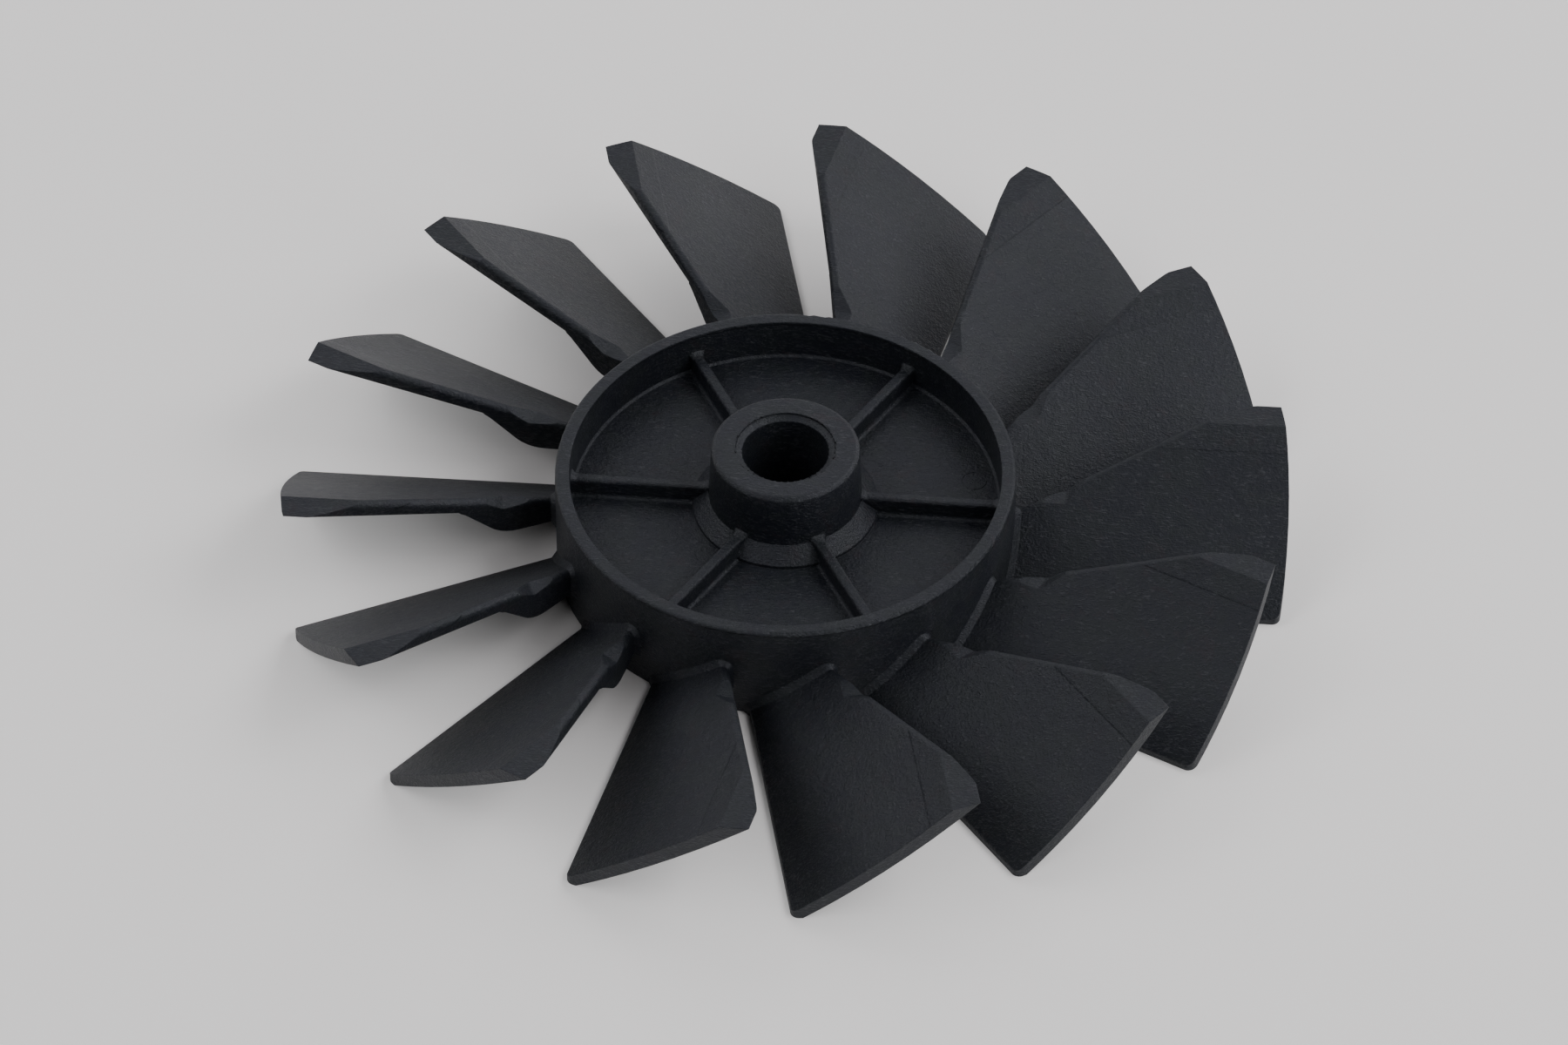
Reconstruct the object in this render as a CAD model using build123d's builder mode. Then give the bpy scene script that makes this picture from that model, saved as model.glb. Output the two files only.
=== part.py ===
from build123d import *
import os
from math import cos, hypot, radians, tan

# ---------------------------------------------------------------------------
# Axial fan impeller, moulded in one piece
# ---------------------------------------------------------------------------
# Frame: the axis of rotation is Z, the plane that the hub and the blades rest
# on is Z = 0, and the first stiffening rib points along +X. Millimetres and
# degrees. A "leading" edge is the upper one, on the counter-clockwise side.

# Whole impeller
impeller_diameter = 140.0
blade_count = 14
rib_count = 6
first_blade_angle = 0.9

# Hub cup
hub_diameter = 64.0
hub_height = 15.5
hub_wall = 2.0
web_depth = 6.5
web_thickness = 2.6

# Boss and bore
boss_diameter = 20.6
boss_foot_diameter = 21.3
boss_rise = 4.5
boss_recess = 1.5
bore_diameter = 12.0
mouth_diameter = 13.8
mouth_step = 0.35
lead_in = 0.45
gusset_width = 2.25
gusset_height = 2.5
gusset_step = 0.5

# Stiffening ribs on the web
rib_thickness = 1.6
rib_height = 2.9

# Blade plate: a flat tapering plate, parallel to the blade's own radial line
blade_rise = 1.8
blade_angle = 36.9
leading_thickness = 2.25
trailing_thickness = 1.7
trailing_offset = 9.6
trailing_lip = 1.0
leading_offset = 1.7
leading_sweep = 23.8

# Joggled blade root: cut down on top and carried lower underneath
notch_drop = 5.7
notch_length = 7.0
notch_step = 2.3
root_floor = 5.1
root_floor_length = 7.2
root_ramp_length = 5.4

# Edge radii
rim_radius = 0.5
web_flare = 0.6
edge_chamfer = 0.5
rib_fillet = 0.6
rib_radius = 0.5
leading_radius = 0.8
lower_edge_radius = 0.4
trailing_radius = 0.6
tip_corner_radius = 1.2
step_radius = 0.8
ramp_radius = 5.0
root_flare = 0.8

# ---------------------------------------------------------------------------
# Sizes that follow from the driving dimensions
# ---------------------------------------------------------------------------
tip_r = impeller_diameter / 2
hub_r = hub_diameter / 2
cup_r = hub_r - hub_wall
boss_r = boss_diameter / 2
bore_r = bore_diameter / 2
boss_foot_r = boss_foot_diameter / 2
mouth_r = mouth_diameter / 2
gusset_r = boss_foot_r + gusset_width
web_top = hub_height - web_depth
web_bottom = web_top - web_thickness
boss_top = hub_height + boss_rise
blade_top = hub_height + blade_rise

# Blades and ribs start inside the walls that carry them
blade_root_r = hub_r - hub_wall / 2
rib_start = boss_r - rib_thickness / 2
rib_end = cup_r + hub_wall / 2

slope = tan(radians(blade_angle))
sweep = tan(radians(leading_sweep))
trailing_y = -trailing_offset


def upper_face(y):
    """Height of the blade's flat upper face above the rest plane."""
    return trailing_lip + slope * (y - trailing_y)


def upper_face_y(z):
    """Where the blade's upper face reaches the height z."""
    return trailing_y + (z - trailing_lip) / slope


def leading_y(x):
    """Place of the leading edge's upright wall, seen from above."""
    return leading_offset + sweep * (x - hub_r)


# The lower face leaves the upper one by the plate's thickness at either edge
leading_top_y = upper_face_y(blade_top)
leading_gap = leading_thickness / cos(radians(blade_angle))
trailing_gap = trailing_thickness / cos(radians(blade_angle))
taper = (leading_gap - trailing_gap) / (leading_top_y - trailing_y)


def lower_face(y):
    """Height of the blade's lower face above the rest plane."""
    return upper_face(y) - trailing_gap - taper * (y - trailing_y)


def lower_face_y(z):
    """Where the blade's lower face reaches the height z."""
    return trailing_y + (z - trailing_lip + trailing_gap) / (slope - taper)


# ---------------------------------------------------------------------------
# Hub: rim, web, boss with its conical gusset, and bore, turned as one profile
# ---------------------------------------------------------------------------
with BuildPart() as hub:
    with BuildSketch(Plane.XZ) as hub_profile:
        with BuildLine():
            Polyline(
                (bore_r, boss_recess),
                (boss_r, boss_recess),
                (boss_r, web_bottom),
                (cup_r, web_bottom),
                (cup_r, 0),
                (hub_r, 0),
                (hub_r, hub_height),
                (cup_r, hub_height),
                (cup_r, web_top),
                (gusset_r, web_top),
                (gusset_r, web_top + gusset_step),
                (boss_foot_r, web_top + gusset_height),
                (boss_r, boss_top),
                (mouth_r, boss_top),
                (mouth_r, boss_top - mouth_step),
                (bore_r, boss_top - mouth_step - lead_in),
                close=True,
            )
        make_face()
        rim_top = hub_profile.vertices().filter_by_position(Axis.Y, hub_height, hub_height)
        rim_corners = rim_top.filter_by_position(Axis.X, cup_r, hub_r).sort_by(Axis.X)
        fillet(rim_corners[-1], rim_radius)
        boss_corners = hub_profile.vertices().filter_by_position(Axis.X, boss_r, boss_r)
        chamfer([*boss_corners, rim_corners[0]], edge_chamfer)
        wall_feet = hub_profile.vertices().filter_by_position(Axis.X, cup_r, cup_r)
        chamfer(wall_feet.filter_by_position(Axis.Y, web_bottom, web_top), web_flare)
    revolve(axis=Axis.Z)

# ---------------------------------------------------------------------------
# One stiffening rib, rounded on top and flared into the web
# ---------------------------------------------------------------------------
with BuildPart() as rib:
    with BuildSketch(Plane.YZ.offset(rib_start)) as rib_section:
        with Locations((0, web_top - web_thickness / 2)):
            Rectangle(rib_thickness + 3 * rib_fillet, web_thickness, align=(Align.CENTER, Align.CENTER))
        with Locations((0, web_top)):
            Rectangle(rib_thickness, rib_height, align=(Align.CENTER, Align.MIN))
        base_corners = rib_section.vertices().filter_by_position(Axis.Y, web_top, web_top)
        fillet(base_corners.sort_by(Axis.X)[1:3], rib_fillet)
        crest_corners = rib_section.vertices().group_by(Axis.Y)[-1]
        fillet(crest_corners, rib_radius)
    extrude(amount=rib_end - rib_start)

# ---------------------------------------------------------------------------
# One blade, with its radial line along +X
# ---------------------------------------------------------------------------
beyond_tip = tip_r + hub_wall
notch_floor = hub_height - notch_drop
notch_foot = hub_r + notch_length
notch_end = notch_foot + notch_step
ramp_start = hub_r + root_floor_length
ramp_end = ramp_start + root_ramp_length
wedge_apex = hub_r - (leading_offset + trailing_offset) / sweep
patch_height = notch_floor + 3 * root_flare
patch_width = leading_offset + trailing_offset + 6 * root_flare
patch_middle = (leading_offset - trailing_offset) / 2
touching = 0.01
leading_plane = Plane((hub_r, leading_offset, 0), z_dir=(-sweep, 1, 0))
outwards = Axis((0, 0, 0), (-sweep, 1, 0))


def inner_level(y):
    """A height inside the blade plate, a quarter of the way up through it."""
    return (upper_face(y) + 3 * lower_face(y)) / 4


def inner_level_y(z):
    """Where that inner level of the plate reaches the height z."""
    return (upper_face_y(z) + 3 * lower_face_y(z)) / 4


def meets_wall(edge):
    """True for an edge where a blade meets the hub wall."""
    middle = edge @ 0.5
    ends_apart = [abs(hypot(end.X, end.Y) - hub_r) for end in (edge @ 0, middle, edge @ 1)]
    between_rims = touching < middle.Z < patch_height - touching
    between_ends = abs(middle.Y - patch_middle) < patch_width / 2 - touching
    return max(ends_apart) < touching and between_rims and between_ends


# A blade's outline seen from above, with round corners at the tip
with BuildSketch(Plane.XY) as blade_outline:
    with BuildLine():
        Polyline(
            (wedge_apex, trailing_y),
            (beyond_tip, trailing_y),
            (beyond_tip, leading_y(beyond_tip)),
            close=True,
        )
    make_face()
    Circle(tip_r, mode=Mode.INTERSECT)
    Circle(blade_root_r, mode=Mode.SUBTRACT)
    tip_corners = blade_outline.vertices().sort_by(Axis.X)[-2:]
    fillet(tip_corners, tip_corner_radius)

# The flat tapering plate with its rounded leading edge, cut level at the top
with BuildPart() as plate:
    with BuildSketch(Plane.YZ.offset(blade_root_r / 2)) as plate_section:
        with BuildLine():
            Polyline(
                (trailing_y, 0),
                (trailing_y, trailing_lip),
                (upper_face_y(2 * blade_top), 2 * blade_top),
                (lower_face_y(2 * blade_top), 2 * blade_top),
                (lower_face_y(0), 0),
                close=True,
            )
        make_face()
        lip_corner = plate_section.vertices().group_by(Axis.X)[0].sort_by(Axis.Y)[-1]
        fillet(lip_corner, trailing_radius)
    extrude(amount=beyond_tip)
    split(bisect_by=leading_plane, keep=Keep.BOTTOM)
    leading_wall = plate.faces().sort_by(outwards)[-1]
    lower_edge, upper_edge = leading_wall.edges().sort_by(Axis.Z)[1:3]
    fillet(upper_edge, leading_radius)
    leading_wall = plate.faces().filter_by(GeomType.PLANE).sort_by(outwards)[-1]
    lower_edge = leading_wall.edges().sort_by(Axis.Z)[1]
    fillet(lower_edge, lower_edge_radius)
    add(blade_outline.sketch)
    extrude(amount=blade_top, mode=Mode.INTERSECT)

# The root's lower part: a level floor and a ramp up to the plate
with BuildPart() as root_block:
    add(blade_outline.sketch)
    extrude(amount=blade_top)
    with BuildSketch(Plane.YZ) as root_section:
        with BuildLine():
            Polyline(
                (inner_level_y(root_floor), root_floor),
                (leading_y(ramp_end), root_floor),
                (leading_y(ramp_end), inner_level(leading_y(ramp_end))),
                close=True,
            )
        make_face()
    extrude(amount=beyond_tip, mode=Mode.INTERSECT)
    with BuildSketch(Plane.XZ) as ramp_profile:
        with BuildLine():
            Polyline(
                (0, root_floor),
                (ramp_start, root_floor),
                (ramp_end, lower_face(leading_y(ramp_end))),
                (beyond_tip, lower_face(leading_y(beyond_tip))),
                (beyond_tip, 2 * blade_top),
                (0, 2 * blade_top),
                close=True,
            )
        make_face()
        ramp_corners = ramp_profile.vertices().filter_by_position(Axis.X, ramp_start, ramp_end)
        fillet(ramp_corners, ramp_radius)
    extrude(amount=beyond_tip, both=True, mode=Mode.INTERSECT)

with BuildPart() as blade:
    add(plate.part)
    add(root_block.part)
    with BuildSketch(Plane.XZ) as notch_profile:
        with BuildLine():
            Polyline(
                (0, notch_floor),
                (notch_foot, notch_floor),
                (notch_end, notch_floor + notch_step),
                (notch_end, 2 * blade_top),
                (0, 2 * blade_top),
                close=True,
            )
        make_face()
        step_corners = notch_profile.vertices().filter_by_position(Axis.X, notch_foot, notch_foot)
        fillet(step_corners, step_radius)
    extrude(amount=beyond_tip, both=True, mode=Mode.SUBTRACT)

# The blade on its own patch of hub wall, flared all round the root
with BuildPart() as rooted_blade:
    with BuildSketch(Plane.XY):
        Circle(hub_r)
        Circle(blade_root_r, mode=Mode.SUBTRACT)
        with Locations((0, patch_middle)):
            Rectangle(hub_r, patch_width, align=(Align.MIN, Align.CENTER), mode=Mode.INTERSECT)
    extrude(amount=patch_height)
    add(blade.part)
    chamfer(rooted_blade.edges().filter_by(meets_wall), root_flare)

# ---------------------------------------------------------------------------
# The whole moulding
# ---------------------------------------------------------------------------
with BuildPart() as impeller:
    add(hub.part)
    with PolarLocations(0, rib_count):
        add(rib.part)
    with PolarLocations(0, blade_count, start_angle=first_blade_angle):
        add(rooted_blade.part)

impeller.part.label = "impeller"
os.makedirs("parts", exist_ok=True)
export_step(impeller.part, "parts/impeller.step")
print("impeller", len(impeller.solids()), "solid", round(impeller.part.volume), "mm3")
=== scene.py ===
# %% [markdown]
# # An axial fan impeller, moulded in one piece
# The frame is the imported solid of the impeller: its axis is Z, it rests on
# Z = 0, and lengths are in metres. Every piece made here is placed by that
# frame, so nothing has to be fitted by eye.

# %% [markdown]
# ## Loading the frame
# The imported solid comes in as one mesh. Its placement is baked into its
# vertices, and the empties that came with it are removed.

# %% Load the frame
import bmesh
import bpy
from math import cos, radians, sin
from mathutils import Matrix, Vector


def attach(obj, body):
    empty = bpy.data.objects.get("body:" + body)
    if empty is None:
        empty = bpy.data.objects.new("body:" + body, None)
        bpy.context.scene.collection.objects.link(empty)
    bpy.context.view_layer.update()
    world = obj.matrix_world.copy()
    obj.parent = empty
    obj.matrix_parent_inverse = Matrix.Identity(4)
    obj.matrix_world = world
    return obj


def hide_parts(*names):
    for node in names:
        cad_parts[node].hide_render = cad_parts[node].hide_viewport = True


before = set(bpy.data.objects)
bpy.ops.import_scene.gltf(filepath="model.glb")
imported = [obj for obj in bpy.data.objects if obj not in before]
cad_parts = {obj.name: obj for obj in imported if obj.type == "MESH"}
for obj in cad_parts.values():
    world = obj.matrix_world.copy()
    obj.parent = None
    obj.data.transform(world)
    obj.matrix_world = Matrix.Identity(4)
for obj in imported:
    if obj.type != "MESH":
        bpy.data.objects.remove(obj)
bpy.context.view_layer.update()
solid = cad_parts["impeller"]

# %% [markdown]
# ## Sizes
# Most of these are the solid's own sizes, in millimetres turned into metres
# by one factor, and the rest say how far a detail reaches. Later steps pick
# out a ring or a slope by them, so each is written once and has a name. Near
# means near enough to be the same place.

# %% Sizes that the moulding and its finish share
mm = 0.001
near = 0.04 * mm
near_slope = 0.05 * mm
same_radius = 0.01 * mm
hub_margin = 0.1 * mm
blade_count = 14
rib_count = 6
blade_turn = radians(0.9)
hub_r = 32 * mm
cup_r = 30 * mm
boss_r = 10.3 * mm
tip_r = 70 * mm
rim_top = 15.5 * mm
web_top = 9 * mm
boss_top = 20 * mm
bore_r = 6 * mm
mouth_r = 6.9 * mm
mouth_depth = 0.8 * mm
edge_cut = 0.5 * mm
boss_foot_r = 10.65 * mm
rib_height = 2.9 * mm
rib_half_width = 0.85 * mm
rib_clearance = 0.55 * mm
rib_margin = 0.1 * mm
rib_flare = [(0, 1.0), (0.45 * mm, 0.35), (1.1 * mm, 0)]
flare_lift = 0.55 * mm
flare_spread = 0.7
flare_reach = 0.15 * mm
cut_snap = 0.001 * mm
ring_bevel = 0.16 * mm
web_flare = 0.6 * mm
thin_flare = 0.32 * mm
blade_pitch = radians(360 / blade_count)
notch_floor = 9.8 * mm
notch_foot = 39 * mm
notch_run = 2.3 * mm
notch_growth = 0.55
along_leading_edge = Vector((1, 0.441, 0.3311))
print("blade pitch", round(360 / blade_count, 2), "degrees")

# %% [markdown]
# ## The moulding's surface
# The solid is exact, but it reaches Blender as loose flat triangles, and its
# round walls are polygons. It could be modelled again from nothing, at the
# risk of drifting away from the solid that the collisions use. Instead a copy
# of its mesh is merged into one skin, and the edges that run round the axis
# are divided and pushed out to their true radius. The copy then shows true
# circles. The blades' tips keep their short chords: pushing a chord's middle
# outwards would lift it off the slanted face that it bounds.

# %% Merge a copy of the solid's mesh into one skin
merge_distance = 0.002 * mm
skin = bmesh.new()
skin.from_mesh(solid.data)
bmesh.ops.remove_doubles(skin, verts=skin.verts, dist=merge_distance)
print("merged skin:", len(skin.verts), "vertices", len(skin.faces), "faces")

# %% Divide the edges that run round the axis and push them out
true_radius = skin.verts.layers.float.new("true_radius")
for vert in skin.verts:
    vert[true_radius] = vert.co.xy.length


def turns_widely(edge, widest):
    """True for an edge on a circle round the axis that turns more than widest."""
    a, b = edge.verts
    on_circle = abs(a[true_radius] - b[true_radius]) < same_radius
    on_hub = mm < a[true_radius] < hub_r + hub_margin
    return on_circle and on_hub and a.co.xy.angle(b.co.xy) > widest


widest_turns = [radians(8), radians(4), radians(2.5)]
for widest_turn in widest_turns:
    wide_edges = [edge for edge in skin.edges if turns_widely(edge, widest_turn)]
    made = bmesh.ops.subdivide_edges(skin, edges=wide_edges, cuts=1)
    for item in made["geom_inner"]:
        if isinstance(item, bmesh.types.BMVert):
            item.co.xy = item.co.xy.normalized() * item[true_radius]
    print("divided", len(wide_edges), "edges; the skin has", len(skin.faces), "faces")

# %% [markdown]
# ## Small roundings
# A mould leaves no edge quite sharp. The rings that the eye meets first will
# get a real bevel. Flat triangles are first dissolved into whole faces, so
# that it runs along clean edges. The many short edges at the blades' roots
# would tangle a bevel, so their tiny radius is left to the material.

# %% Dissolve flat triangles
flat_angle = radians(0.4)
bmesh.ops.dissolve_limit(
    skin,
    angle_limit=flat_angle,
    use_dissolve_boundaries=False,
    verts=skin.verts,
    edges=skin.edges,
    delimit=set(),
)
print("after dissolving:", len(skin.faces), "faces")

# %% [markdown]
# ## A fine line round the web
# Where the web meets the cup's wall the real part has a very small flare that
# catches the light as a thin bright line. The solid has a larger one, which
# would look like a band. Both of its rings are drawn in towards the corner.
# Moving rings that are already there keeps the skin closed.

# %% Draw a ring of the skin to a new radius and height
def draw_ring(ring_radius, height, new_radius, new_height):
    """Moves the vertices of a ring round the axis, and says how many."""
    moved = 0
    for vert in skin.verts:
        if abs(vert.co.xy.length - ring_radius) + abs(vert.co.z - height) < near:
            vert.co.xy = vert.co.xy.normalized() * new_radius
            vert.co.z = new_height
            moved += 1
    return moved


flare_drawn = draw_ring(cup_r - web_flare, web_top, cup_r - thin_flare, web_top)
flare_drawn += draw_ring(cup_r, web_top + web_flare, cup_r, web_top + thin_flare)
print("vertices of the web's flare:", flare_drawn)

# %% [markdown]
# ## The slope of the notch at each blade's root
# Each blade is cut down where it meets the hub, and it climbs out of the cut
# by a slope. On the real blade the slope runs out further along the leading
# edge than a plain 45 degree step does. Its vertices are moved along that
# edge, the more the higher they lie, so they stay in the blade's own faces.

# %% Draw out the slope of each blade's notch
for number in range(blade_count):
    unturn = Matrix.Rotation(-blade_turn - number * blade_pitch, 3, "Z")
    slope_verts = 0
    for vert in skin.verts:
        local = unturn @ vert.co
        out = local.x - notch_foot
        on_slope = 0 < out < notch_run + near_slope and abs(local.z - notch_floor - out) < near_slope
        on_end = abs(out - notch_run) < near_slope and local.z > notch_floor + notch_run - near_slope
        if on_slope or on_end:
            vert.co += unturn.transposed() @ (along_leading_edge * out * notch_growth)
            slope_verts += 1
print("vertices of the last notch's slope:", slope_verts)

# %% [markdown]
# ## The ribs' ends
# A rib rises and spreads a little where it meets a wall, which keeps the
# corner from cracking. Each rib is cut across at a few places near an end,
# and the new rows are lifted and widened, most at the wall and not at all at
# the last cut. A separate wedge would be quicker, but would leave a seam.

# %% Flare the ribs' ends where they meet the rim and the boss
def on_rib(vert, out_dir, side_dir):
    """True for a vertex of the upper part of the rib that runs along out_dir."""
    return (
        vert.co.dot(out_dir) > boss_r
        and abs(vert.co.dot(side_dir)) < rib_half_width
        and web_top + rib_clearance < vert.co.z < web_top + rib_height + rib_margin
    )


for number in range(rib_count):
    out_dir = Matrix.Rotation(number * radians(360 / rib_count), 3, "Z") @ Vector((1, 0, 0))
    side_dir = Vector((-out_dir.y, out_dir.x, 0))
    for end, inwards in [(cup_r, -1), (boss_foot_r, 1)]:
        for step, _ in rib_flare:
            chosen = {vert for vert in skin.verts if on_rib(vert, out_dir, side_dir)}
            faces = [face for face in skin.faces if all(vert in chosen for vert in face.verts)]
            around = {edge for face in faces for edge in face.edges}
            around |= {vert for face in faces for vert in face.verts}
            bmesh.ops.bisect_plane(
                skin,
                geom=[*faces, *around],
                dist=cut_snap,
                plane_co=out_dir * (end + inwards * step),
                plane_no=out_dir,
            )
        for vert in [vert for vert in skin.verts if on_rib(vert, out_dir, side_dir)]:
            away = abs(vert.co.dot(out_dir) - end)
            share = max([part for step, part in rib_flare if abs(away - step) < flare_reach], default=0)
            height_share = (vert.co.z - web_top) / rib_height
            lift = share * max(0, 2 * height_share - 1)
            spread = flare_spread * vert.co.dot(side_dir) * side_dir
            vert.co += lift * (flare_lift * Vector((0, 0, 1)) + spread)
print("faces after the ribs' flares:", len(skin.faces))

# %% [markdown]
# ## Real bevels on the rings
# The rings at the boss's end, the bore's mouth and the rim's inner edge are
# seen from close by, so each gets two narrow bands that turn the corner.

# %% Bevel the rings that show
rings = [
    (boss_r, boss_top - edge_cut),
    (boss_r - edge_cut, boss_top),
    (mouth_r, boss_top),
    (bore_r, boss_top - mouth_depth),
    (cup_r, rim_top),
]


def on_ring(edge, ring_radius, height):
    """True for an edge that lies on a ring round the axis."""
    apart = [abs(v.co.xy.length - ring_radius) + abs(v.co.z - height) for v in edge.verts]
    return max(apart) < near


for ring_radius, height in rings:
    ring = [edge for edge in skin.edges if on_ring(edge, ring_radius, height)]
    bmesh.ops.bevel(
        skin,
        geom=ring,
        offset=ring_bevel,
        offset_type="OFFSET",
        segments=2,
        profile=0.5,
        affect="EDGES",
        material=-1,
    )
    print("bevelled", len(ring), "edges at radius", round(ring_radius / mm, 2))

# %% [markdown]
# ## From skin to piece
# Whole faces with many corners are cut into triangles here, where their shape
# can be chosen, and not left to whatever reads the mesh later. Then every
# face is shaded smooth, and edges sharper than 30 degrees are marked so that
# they still read as edges.

# %% Cut the whole faces into well-shaped triangles
shortest_edge = 0.003 * mm
bmesh.ops.dissolve_degenerate(skin, dist=shortest_edge, edges=skin.edges)
bmesh.ops.triangulate(skin, faces=skin.faces, quad_method="BEAUTY", ngon_method="BEAUTY")
print("triangles:", len(skin.faces))

# %% Turn the skin into the visible piece
sharp_angle = radians(30)
shell_mesh = bpy.data.meshes.new("impeller_moulding")
for face in skin.faces:
    face.smooth = True
for edge in skin.edges:
    edge.smooth = edge.calc_face_angle() < sharp_angle
skin.to_mesh(shell_mesh)
skin.free()
moulding = bpy.data.objects.new("impeller_moulding", shell_mesh)
bpy.context.scene.collection.objects.link(moulding)
weigh = moulding.modifiers.new("flat faces stay flat", "WEIGHTED_NORMAL")
weigh.keep_sharp = True
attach(moulding, "root")
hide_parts("impeller")
print("visible piece:", len(shell_mesh.polygons), "faces")

# %% [markdown]
# ## Ejector pin rings
# Two round pins pushed the part out of its mould and left a fine raised ring
# each on the web. A bump in the material would show them only where the light
# is kind, so they are real: a thin ring, more than half sunk in the plastic.

# %% Make the two ejector pin rings
pin_centres = [Vector((-7.4, 26.5, 9)) * mm, Vector((25.8, 7.0, 9)) * mm]
pin_r = 1.7 * mm
ridge_r = 0.09 * mm
sunk = 0.03 * mm
ridge_sides = 8
pin_sides = 48
ridges = bmesh.new()
for centre in pin_centres:
    rounds = []
    for step in range(pin_sides):
        out = Vector((cos(radians(360 / pin_sides * step)), sin(radians(360 / pin_sides * step)), 0))
        turns = [radians(360 / ridge_sides * side) for side in range(ridge_sides)]
        middle = centre + pin_r * out - Vector((0, 0, sunk))
        spots = [middle + ridge_r * (cos(turn) * out + sin(turn) * Vector((0, 0, 1))) for turn in turns]
        rounds.append([ridges.verts.new(spot) for spot in spots])
    for step in range(pin_sides):
        here, following = rounds[step - 1], rounds[step]
        for side in range(ridge_sides):
            ridges.faces.new([here[side - 1], following[side - 1], following[side], here[side]]).smooth = True
bmesh.ops.recalc_face_normals(ridges, faces=ridges.faces)
ridge_mesh = bpy.data.meshes.new("ejector_pin_rings")
ridges.to_mesh(ridge_mesh)
ridges.free()
pin_rings = bpy.data.objects.new("ejector_pin_rings", ridge_mesh)
bpy.context.scene.collection.objects.link(pin_rings)
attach(pin_rings, "root")
print("ejector pin rings:", len(ridge_mesh.polygons), "faces")

# %% [markdown]
# ## The plastic
# The real finish is a near-black glass-filled nylon: matt, a little blue,
# mottled where fibres lie near the surface. A plain dark colour would look
# like paint. The material is built from a few fields over the surface, each
# one a number that varies with place, and they are mixed like numbers.


# %% A field wraps a socket so that shader sums read like sums
class Field:
    """A socket in a material that can be added, scaled and compared."""

    def __init__(self, tree, socket=None):
        self.tree = tree
        self.socket = socket

    def node(self, kind, settings=None, inputs=None, output=0):
        """Add a node: its settings first, then its sockets' values or links."""
        made = self.tree.nodes.new(kind)
        for name, value in (settings or {}).items():
            setattr(made, name, value)
        for name, value in (inputs or {}).items():
            socket = made.inputs[name]
            if isinstance(value, Field):
                self.tree.links.new(value.socket, socket)
            else:
                socket.default_value = value
        return Field(self.tree, made.outputs[output])

    def maths(self, operation, *values):
        """A Math node on this field and up to two more values."""
        inputs = dict(enumerate([self, *values]))
        return self.node("ShaderNodeMath", {"operation": operation}, inputs)

    def __add__(self, other):
        return self.maths("ADD", other)

    __radd__ = __add__

    def __sub__(self, other):
        return self.maths("SUBTRACT", other)

    def __rsub__(self, other):
        return (self * -1) + other

    def __mul__(self, other):
        return self.maths("MULTIPLY", other)

    __rmul__ = __mul__

    def between(self, low, high):
        """0 at low, 1 at high, with a soft step from one to the other."""
        settings = {"interpolation_type": "SMOOTHSTEP"}
        return self.node("ShaderNodeMapRange", settings, {"Value": self, "From Min": low, "From Max": high})


# %% [markdown]
# ## A place on the surface
# Object coordinates move with the piece and are in metres, so a size in the
# material means the same as a size on the part.

# %% Start the material and find a place on the surface
plastic = bpy.data.materials.new("black_glass_filled_nylon")
plastic.use_nodes = True
tree = plastic.node_tree
shader = tree.nodes["Principled BSDF"]
start = Field(tree)
place = start.node("ShaderNodeTexCoord", output="Object")
x = start.node("ShaderNodeSeparateXYZ", inputs={"Vector": place}, output="X")
y = start.node("ShaderNodeSeparateXYZ", inputs={"Vector": place}, output="Y")
z = start.node("ShaderNodeSeparateXYZ", inputs={"Vector": place}, output="Z")
radius = (x * x + y * y).maths("SQRT")
print("material nodes so far:", len(tree.nodes))


# %% [markdown]
# ## Noise of several sizes
# A moulded surface is uneven at every size, from clouds more than a
# centimetre wide to pores that are hardly seen. Each size gets its own noise.
# The glass fibres are noise too, drawn out along one axis into strands.

# %% Noise that is the same all round, and noise drawn out into fibres
def noise(size, detail=2.0, roughness=0.5, distortion=0.0, where=place):
    """Noise from 0 to 1 whose blobs are about size metres across."""
    inputs = {"Vector": where, "Scale": 1 / size}
    inputs |= {"Detail": detail, "Roughness": roughness, "Distortion": distortion}
    return start.node("ShaderNodeTexNoise", inputs=inputs)


def drawn_out(turn, stretch):
    """The place on the surface, turned, and shrunk along one axis so that noise there is longer."""
    inputs = {"Vector": place, "Rotation": turn, "Scale": (1 / stretch, 1, 1)}
    return start.node("ShaderNodeMapping", inputs=inputs)


clouds = noise(14 * mm, 2, 0.5)
patches = noise(5 * mm, 3, 0.6, 0.6)
mottle = noise(1.7 * mm, 3, 0.6, 0.4)
grain = noise(0.42 * mm, 2, 0.6)
pores = noise(0.2 * mm, 1, 0.5)
print("material nodes so far:", len(tree.nodes))

# %% Glass fibres that lie near the surface, in four directions
fibre_width = 0.28 * mm
fibre_stretch = 4.5
fibre_turns = [(0, 0, 0.3), (0.4, 0.9, 1.2), (1.1, -0.5, 2.2), (-0.6, 0.3, -0.8)]
fibres = None
for turn in fibre_turns:
    strand = noise(fibre_width, 1, 0.5, 0.3, drawn_out(turn, fibre_stretch)).between(0.60, 0.74)
    fibres = strand if fibres is None else fibres.maths("MAXIMUM", strand)
print("material nodes so far:", len(tree.nodes))

# %% [markdown]
# ## Colour
# The colour drifts between a blue black, a green black and a brown black, as
# the filler and the cooling of the mould leave it, and the fibres are paler.


# %% Colour
def mix(factor, first, second):
    """A colour between two, by a factor field."""
    inputs = {"Factor": factor, "A": first, "B": second}
    return start.node("ShaderNodeMix", {"data_type": "RGBA"}, inputs, output="Result")


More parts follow.
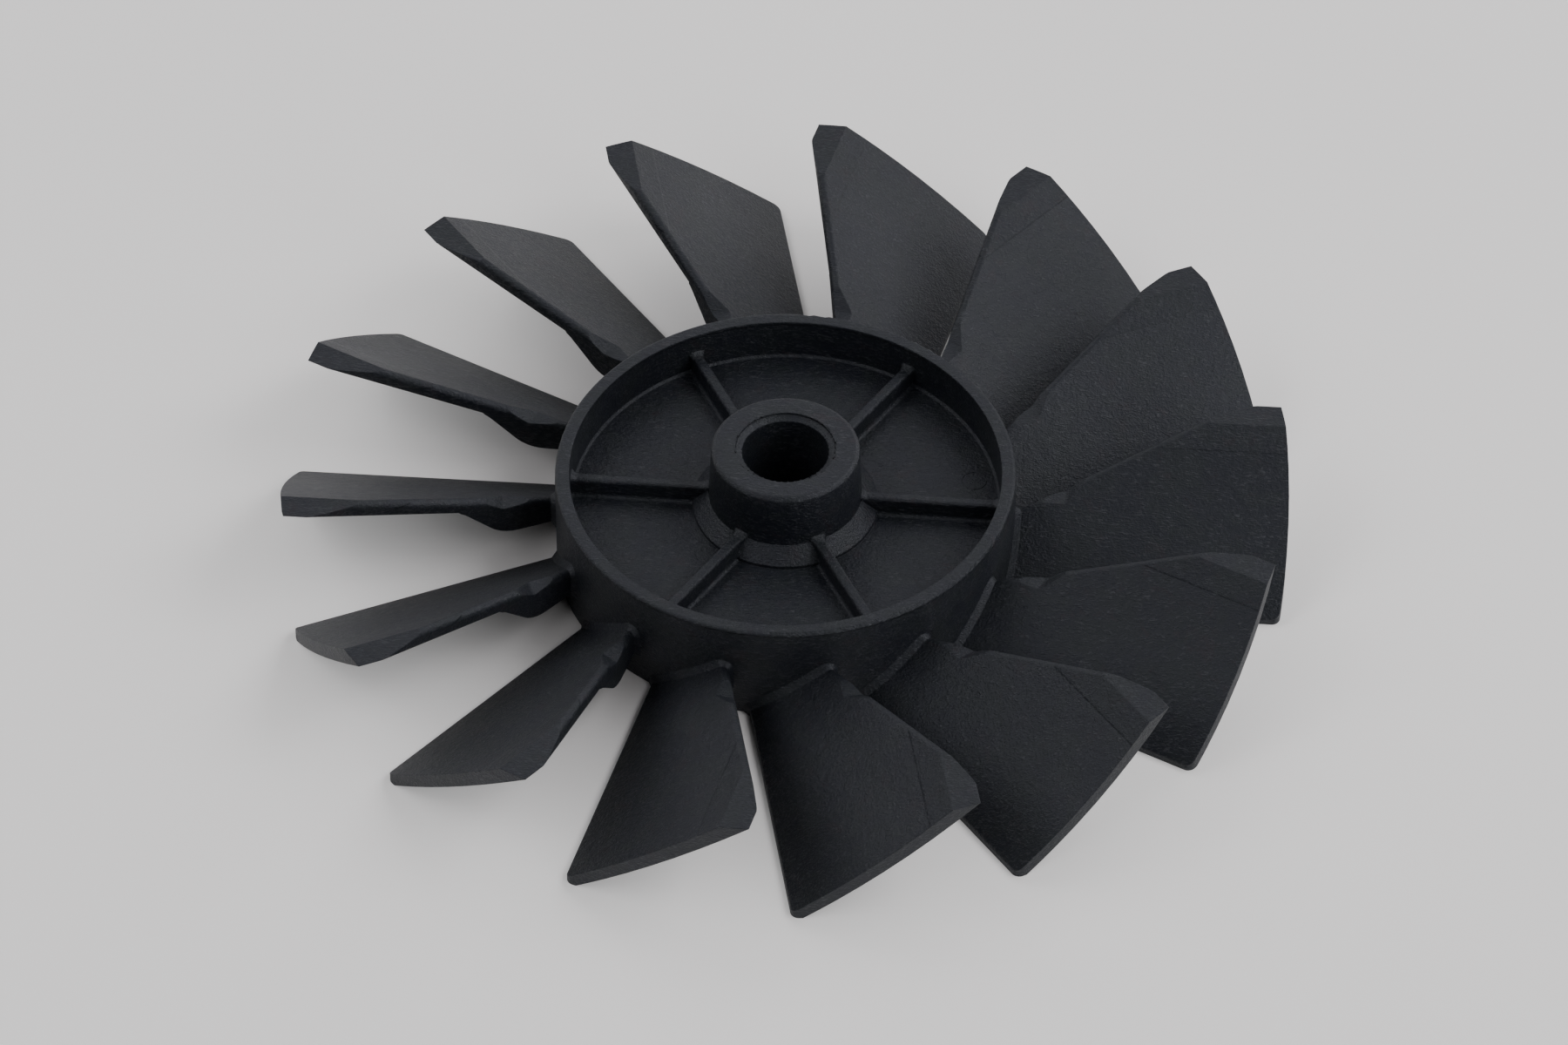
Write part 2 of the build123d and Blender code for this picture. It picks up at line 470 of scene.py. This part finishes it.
blue_black = (0.0050, 0.0066, 0.0108, 1)
green_black = (0.0062, 0.0088, 0.0105, 1)
brown_black = (0.0105, 0.0075, 0.0105, 1)
pale_fibre = (0.0330, 0.0350, 0.0400, 1)
body = mix(patches.between(0.40, 0.62), blue_black, green_black)
body = mix(noise(3.1 * mm, 3, 0.6, 0.8).between(0.56, 0.72) * 0.7, body, brown_black)
body = mix(fibres * mottle.between(0.35, 0.65) * 0.75, body, pale_fibre)
tree.links.new(body.socket, shader.inputs["Base Color"])
print("material nodes so far:", len(tree.nodes))

# %% [markdown]
# ## Wear on the rim
# Handling scuffs the rim first, because it stands proud. Two soft steps, one
# over the radius and one over the height, leave a field that is 1 there only.

# %% The rim is a little worn
rim_inside = (29.6 * mm, 29.9 * mm)
rim_upper = (14.9 * mm, 15.1 * mm)
rim = radius.between(*rim_inside) * z.between(*rim_upper)
rim_wear = noise(0.8 * mm, 4, 0.7, 0.5)
print("material nodes so far:", len(tree.nodes))

# %% [markdown]
# ## Roughness and bump
# Roughness says how wide a reflection spreads. Bump tilts the surface in
# small steps and breaks up the reflections, which are most of what the eye
# sees on so dark a plastic. The Bevel node rounds what is left sharp, by a
# radius far smaller than a blade is thick, and the bump goes on top of it.

# %% Roughness and bump
edge_radius = 0.2 * mm
bump_depth = 0.08 * mm
rough = 0.44 + 0.12 * mottle + 0.10 * clouds - 0.08 * fibres
tree.links.new(rough.socket, shader.inputs["Roughness"])
height = 1.3 * grain + 0.45 * pores + 1.6 * mottle + 0.5 * fibres + 2.0 * rim * rim_wear
rounded = start.node("ShaderNodeBevel", {"samples": 6}, {"Radius": edge_radius})
bump = start.node(
    "ShaderNodeBump", inputs={"Strength": 1.0, "Distance": bump_depth, "Height": height, "Normal": rounded}
)
tree.links.new(bump.socket, shader.inputs["Normal"])
shader.inputs["Specular IOR Level"].default_value = 0.5
shader.inputs["Specular Tint"].default_value = (0.945, 0.97, 1.0, 1)
moulding.data.materials.append(plastic)
pin_rings.data.materials.append(plastic)
print("material nodes:", len(tree.nodes))

# %% [markdown]
# ## Floor, light and camera
# The part lies on a pale floor with a faint glow. The glow is cut off under
# the hub, a painted shade that keeps the bore dark. Soft lights stand round it like the walls of a tent.
# Each has its own power, because on so dark a plastic a face is as bright as
# the light that it mirrors.

# %% Lay the floor
floor_half_width = 3
floor_colour = (0.89, 0.87, 0.83, 1)
floor_roughness = 0.9
floor_glow = 0.26
floor_mesh = bpy.data.meshes.new("floor")
sweep = bmesh.new()
bmesh.ops.create_grid(sweep, x_segments=1, y_segments=1, size=floor_half_width)
sweep.to_mesh(floor_mesh)
sweep.free()
floor = bpy.data.objects.new("floor", floor_mesh)
bpy.context.scene.collection.objects.link(floor)
paper = bpy.data.materials.new("white_sweep")
paper.use_nodes = True
paper_shader = paper.node_tree.nodes["Principled BSDF"]
paper_shader.inputs["Base Color"].default_value = floor_colour
paper_shader.inputs["Roughness"].default_value = floor_roughness
paper_shader.inputs["Emission Strength"].default_value = floor_glow
glow = Field(paper.node_tree)
spot = glow.node("ShaderNodeTexCoord", output="Object")
from_axis = glow.node("ShaderNodeVectorMath", {"operation": "LENGTH"}, {0: spot}, "Value")
# The floor's glow is cut off under the hub: a painted shade that keeps the bore dark.
glow_with_painted_shade_under_hub = from_axis.between(hub_r, tip_r)
paper.node_tree.links.new(glow_with_painted_shade_under_hub.socket, paper_shader.inputs["Emission Color"])
floor.data.materials.append(paper)

# %% [markdown]
# ## The camera
# It looks down at about 45 degrees from far off with a long lens, so that near
# and far blades keep their true proportions. Its three directions are worked
# out from two angles, and the same angles will place the lights.

# %% Point the camera
elevation = radians(44.69)
heading = radians(5.24)
camera_distance = 1130.25 * mm
camera_drop = 7.2 * mm
camera_left = 0.2055 * mm
camera_lens = 187.09
right = Vector((cos(heading), sin(heading), 0))
level = Vector((-sin(heading), cos(heading), 0))
ahead = level * cos(elevation) - Vector((0, 0, sin(elevation)))
above = level * sin(elevation) + Vector((0, 0, cos(elevation)))
eye = Vector((0, 0, rim_top)) - camera_distance * ahead - camera_drop * above - camera_left * right
camera_data = bpy.data.cameras.new("camera")
camera_data.sensor_width = 36
camera_data.lens = camera_lens
camera = bpy.data.objects.new("camera", camera_data)
bpy.context.scene.collection.objects.link(camera)
turn = Matrix((right, above, -ahead)).transposed()
camera.matrix_world = Matrix.Translation(eye) @ turn.to_4x4()
bpy.context.scene.camera = camera
print("camera", [round(c, 3) for c in eye])


# %% [markdown]
# ## The lights
# All the lights are alike, wide and soft, so no hard shadow falls on the
# blades. Only place and power differ. The places are a plain grid of angles.
# The powers were not chosen one by one: a least-squares fit that is not part
# of this script found them, so nothing written here explains their values.
# Someone lighting their own part would start with equal powers instead.

# %% Hang the lights
brightness = 1.1
lamp_colour = (1.01, 1.0, 1.05)


def soft_light(name, azimuth, rise, power, distance=1.3, size=0.7):
    """A square soft light at an azimuth from the camera's right and a rise, aimed at the hub."""
    round_axis = azimuth + heading
    spot = distance * Vector((cos(rise) * cos(round_axis), cos(rise) * sin(round_axis), sin(rise)))
    data = bpy.data.lights.new(name, "AREA")
    data.size = size
    data.energy = power
    data.color = lamp_colour
    light = bpy.data.objects.new(name, data)
    bpy.context.scene.collection.objects.link(light)
    light.matrix_world = Matrix.Translation(spot) @ (-spot).to_track_quat("-Z", "Y").to_matrix().to_4x4()
    return light


tent = [
    ("right_high", 0, 45, 5.45),
    ("back_right_low", 45, 15, 2.56),
    ("back_right_high", 45, 45, 1.55),
    ("back_low", 90, 15, 1.18),
    ("back_high", 90, 45, 1.7),
    ("back_left_low", 135, 15, 1.86),
    ("back_left_high", 135, 45, 1.66),
    ("left_high", 180, 45, 2.92),
    ("front_left_high", 225, 45, 2.21),
    ("front_right_low", 315, 15, 3.29),
    ("front_right_high", 315, 45, 2.53),
]
for name, azimuth, rise, power in tent:
    soft_light(name, radians(azimuth), radians(rise), brightness * power)
print("lights:", len(tent))
